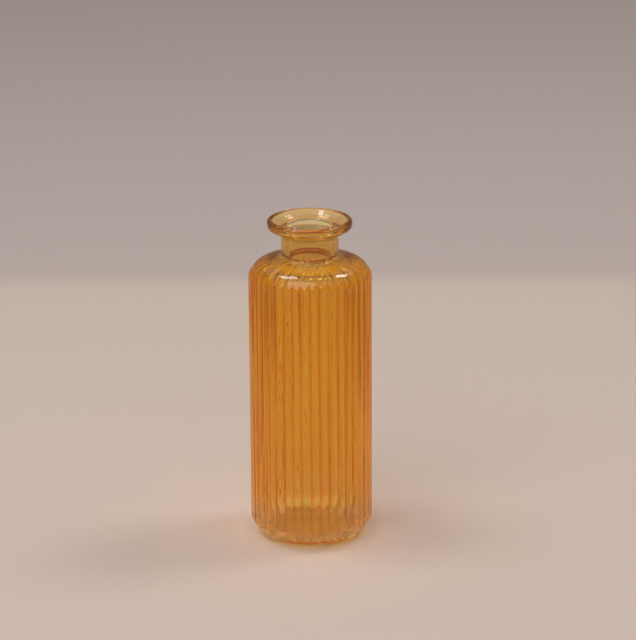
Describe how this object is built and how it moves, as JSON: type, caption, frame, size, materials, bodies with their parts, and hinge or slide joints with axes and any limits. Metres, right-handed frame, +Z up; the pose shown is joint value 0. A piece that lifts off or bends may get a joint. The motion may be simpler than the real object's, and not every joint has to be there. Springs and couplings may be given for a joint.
{
  "type": "bud vase",
  "caption": "Slim straight-sided glass bud vase with reeded wall, smooth rounded shoulder, short plain neck and thick lip with a dished mouth, for a few stems.",
  "frame": {"origin": "on the vase's axis, in the plane of the foot ring that it stands on", "axes": "+Z up the axis, out of the mouth; X and Y are equal, with a reed's crown on +X"},
  "size_m": [0.05, 0.0498, 0.134],
  "materials": {
    "amber_glass": "clear glass stained amber, smooth and glossy, fire-polished lip"
  },
  "bodies": {
    "root": {"base": "amber_glass", "body": "amber_glass", "shoulder": "amber_glass", "neck": "amber_glass", "lip": "amber_glass"}
  },
  "joints": []
}
